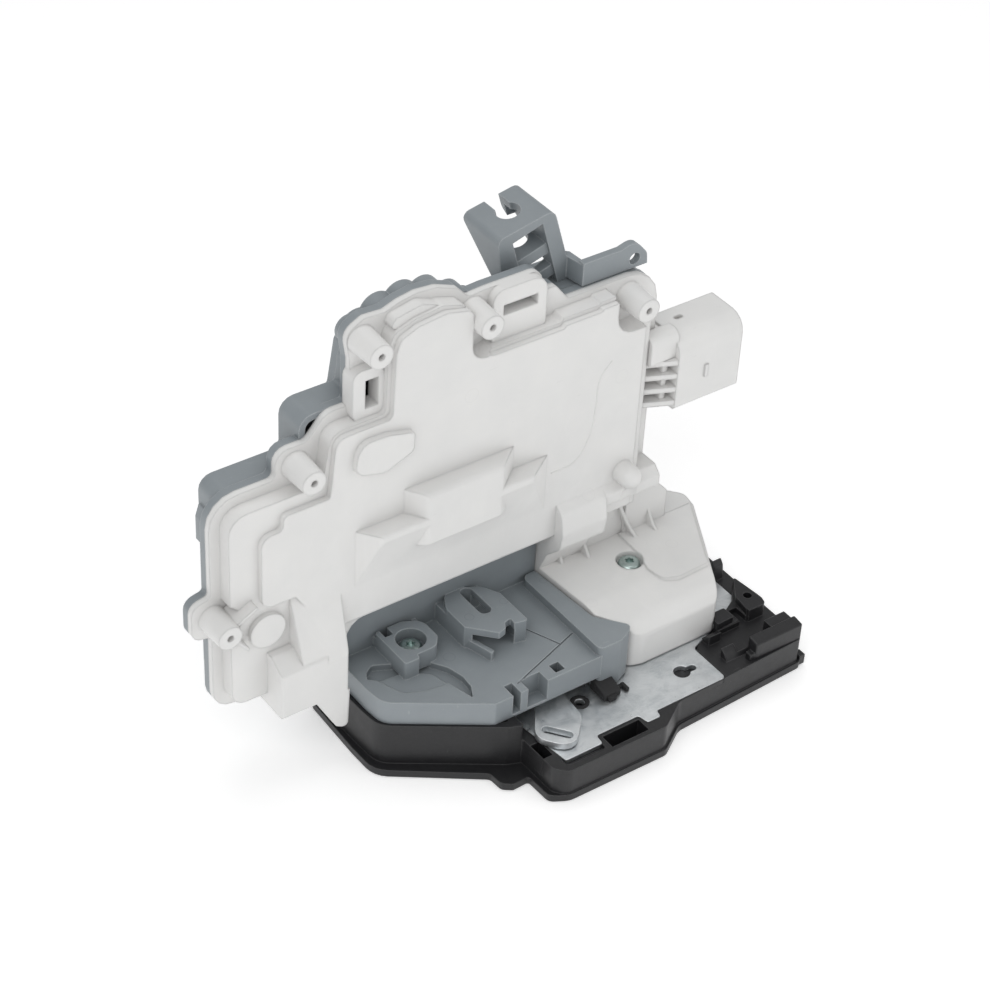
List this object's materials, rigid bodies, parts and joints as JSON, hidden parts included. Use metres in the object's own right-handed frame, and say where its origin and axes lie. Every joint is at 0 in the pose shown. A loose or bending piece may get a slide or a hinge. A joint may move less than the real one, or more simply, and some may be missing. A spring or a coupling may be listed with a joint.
{
  "type": "door latch actuator",
  "caption": "Car door latch with its electric lock drive: hooked catch and pawl in a flat base, with a tall moulded gear case standing on it, wiring socket and cable holders.",
  "frame": {"origin": "midpoint between the two threaded fixing holes, on the outer face of the steel face plate", "axes": "+X along the base towards the wiring socket, +Y towards the open end of the striker slot, +Z out of the door end face, up through the tall case"},
  "size_m": [0.1996, 0.0953, 0.1625],
  "materials": {
    "white_plastic": "fine satin moulded white plastic",
    "grey_plastic": "satin moulded blue-grey plastic",
    "black_plastic": "satin glass-filled black plastic",
    "plate_zinc": "zinc-plated steel sheet, blotchy sheen",
    "dark_steel": "hardened steel, stamped edges",
    "pin_steel": "turned steel, riveted over",
    "spring_steel": "drawn spring wire",
    "screw_zinc": "zinc-plated with a slight green-blue tint",
    "terminal_brass": "tinned brass",
    "motor_can": "drawn steel can",
    "gear_plastic": "natural acetal plastic",
    "rubber_black": "soft black rubber"
  },
  "bodies": {
    "case": {"face_plate": "plate_zinc", "latch_housing": "black_plastic", "back_plate": "plate_zinc", "catch_pin": "pin_steel", "pawl_pin": "pin_steel", "catch_spring": "spring_steel", "catch_buffer": "rubber_black", "pawl_spring": "spring_steel", "lever_pivot": "pin_steel", "latch_cover": "grey_plastic", "front_cover": "white_plastic", "rear_shell": "grey_plastic", "cable_bracket": "grey_plastic", "connector": "white_plastic", "terminals": "terminal_brass", "case_screws": "screw_zinc", "case_seal": "rubber_black", "lock_motor": "motor_can", "safe_motor": "motor_can", "gear_axles": "pin_steel", "contact_strip": "terminal_brass", "micro_switches": "black_plastic", "inner_pivot": "pin_steel"},
    "catch": {"catch": "dark_steel", "catch_jacket": "black_plastic"},
    "pawl": {"pawl": "dark_steel"},
    "lever": {"release_lever": "plate_zinc"},
    "bar": {"release_bar": "plate_zinc"},
    "lock_worm": {"lock_worm": "spring_steel"},
    "lock_gear": {"lock_gear": "gear_plastic"},
    "lock_rack": {"lock_rack": "black_plastic"},
    "safe_worm": {"safe_worm": "spring_steel"},
    "safe_gear": {"safe_gear": "gear_plastic"},
    "safe_rack": {"safe_rack": "black_plastic"},
    "inner_lever": {"inner_lever": "black_plastic"}
  },
  "joints": [
    {"name": "catch_turn", "type": "hinge", "parent": "case", "child": "catch", "pos_m": [-0.02, 0.01, 0.0059], "axis": [0, 0, -1], "range_deg": [0, 62], "stiffness_Nm_per_rad": 0.02, "springref_deg": -34.38},
    {"name": "release_pull", "type": "hinge", "parent": "case", "child": "lever", "pos_m": [-0.033, 0.014, 0.0141], "axis": [0, 0, 1], "range_deg": [0, 16], "stiffness_Nm_per_rad": 0.03, "springref_deg": -22.92},
    {"name": "bar_slide", "type": "slide", "parent": "case", "child": "bar", "axis": [1, 0, 0], "range_m": [0, 0.0058]},
    {"name": "pawl_turn", "type": "hinge", "parent": "case", "child": "pawl", "pos_m": [0.018, 0.012, 0.0059], "axis": [0, 0, 1], "range_deg": [0, 18]},
    {"name": "lock_gear_turn", "type": "hinge", "parent": "case", "child": "lock_gear", "pos_m": [-0.047, 0.0304, 0.0895], "axis": [0, 1, 0], "range_deg": [0, 90]},
    {"name": "lock_worm_turn", "type": "hinge", "parent": "case", "child": "lock_worm", "pos_m": [-0.047, 0.0304, 0.072], "axis": [1, 0, 0], "range_deg": [0, 2520]},
    {"name": "lock_rack_slide", "type": "slide", "parent": "case", "child": "lock_rack", "axis": [0, 0, -1], "range_m": [0, 0.0095]},
    {"name": "safe_gear_turn", "type": "hinge", "parent": "case", "child": "safe_gear", "pos_m": [-0.0565, 0.042, 0.121], "axis": [0, 1, 0], "range_deg": [0, 72]},
    {"name": "safe_worm_turn", "type": "hinge", "parent": "case", "child": "safe_worm", "pos_m": [-0.074, 0.042, 0.121], "axis": [0, 0, -1], "range_deg": [0, 2016]},
    {"name": "safe_rack_slide", "type": "slide", "parent": "case", "child": "safe_rack", "axis": [0, 0, -1], "range_m": [0, 0.0076]},
    {"name": "inner_pull", "type": "hinge", "parent": "case", "child": "inner_lever", "pos_m": [-0.01, 0.045, 0.115], "axis": [0, 1, 0], "range_deg": [0, 22], "stiffness_Nm_per_rad": 0.01, "springref_deg": -22.92}
  ],
  "couplings": [
    {"joint": "bar_slide", "follows": "release_pull", "m_per_rad": 0.0204},
    {"joint": "pawl_turn", "follows": "release_pull", "ratio": 1.1},
    {"joint": "lock_worm_turn", "follows": "lock_gear_turn", "ratio": 28},
    {"joint": "lock_rack_slide", "follows": "lock_gear_turn", "m_per_rad": 0.006},
    {"joint": "safe_worm_turn", "follows": "safe_gear_turn", "ratio": 28},
    {"joint": "safe_rack_slide", "follows": "safe_gear_turn", "m_per_rad": 0.006}
  ]
}
